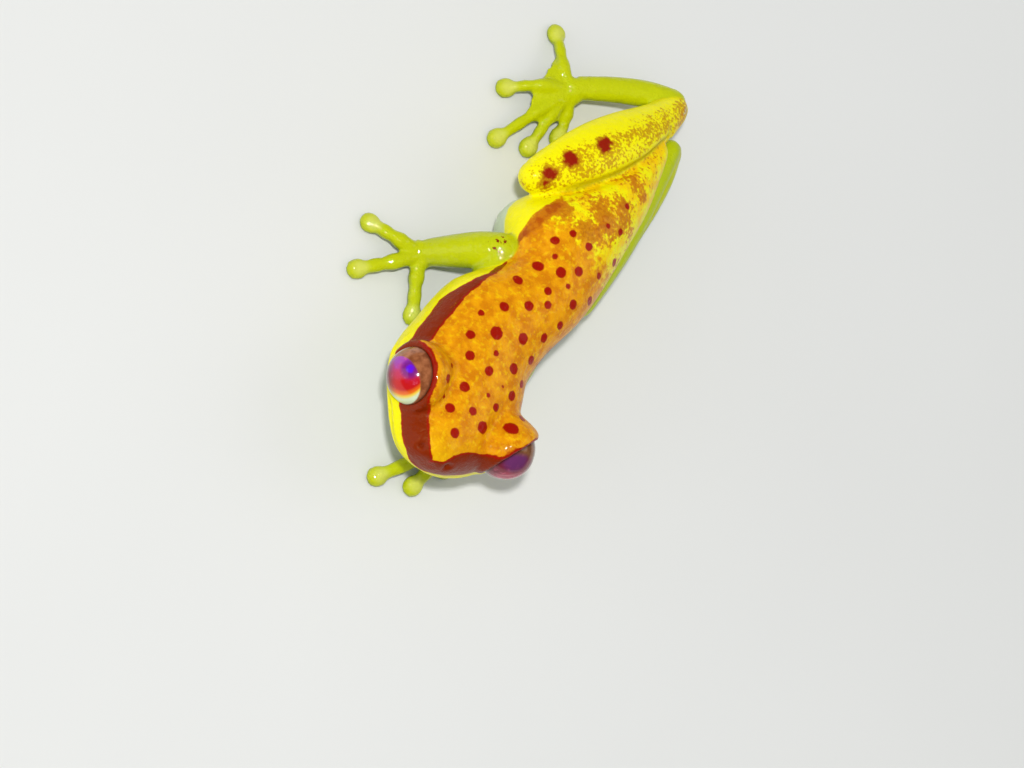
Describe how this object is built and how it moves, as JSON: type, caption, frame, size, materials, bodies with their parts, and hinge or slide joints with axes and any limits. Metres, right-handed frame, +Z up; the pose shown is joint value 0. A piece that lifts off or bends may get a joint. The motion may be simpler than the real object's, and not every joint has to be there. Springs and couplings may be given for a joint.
{
  "type": "tree frog",
  "caption": "Small golden tree frog with red-brown spots, resting low with one hind foot drawn forward beside its flank.",
  "frame": {"origin": "on the floor under the middle of the whole frog's box", "axes": "+Y from the snout to the rump, +X to the frog's left, +Z up from the floor it rests on"},
  "size_m": [0.0158, 0.0318, 0.0085],
  "materials": {
    "head": "moist, finely grained golden skin with red-brown spots and a lemon lip line",
    "torso": "moist, finely grained golden skin with red-brown spots, a lemon side stripe and a pale belly",
    "eye": "wet, clear and glossy over a plum and copper iris",
    "upper_arm": "moist yellow-green skin",
    "forearm": "moist yellow-green skin with a few dark specks",
    "hand": "moist, slightly translucent yellow-green skin with pale discs",
    "thigh": "moist bright lemon skin",
    "shank": "moist bright lemon skin with fine brown speckle and a few red-brown blotches",
    "tarsus": "moist lemon skin",
    "foot": "moist, slightly translucent yellow-green skin with webs between the toes"
  },
  "bodies": {
    "root": {"head": "head", "torso": "torso", "eye_left": "eye", "eye_right": "eye", "upper_arm_left": "upper_arm", "upper_arm_right": "upper_arm", "forearm_left": "forearm", "forearm_right": "forearm", "hand_left": "hand", "hand_right": "hand", "thigh_left": "thigh", "thigh_right": "thigh", "shank_left": "shank", "shank_right": "shank", "tarsus_left": "tarsus", "tarsus_right": "tarsus", "foot_left": "foot", "foot_right": "foot"}
  },
  "joints": []
}
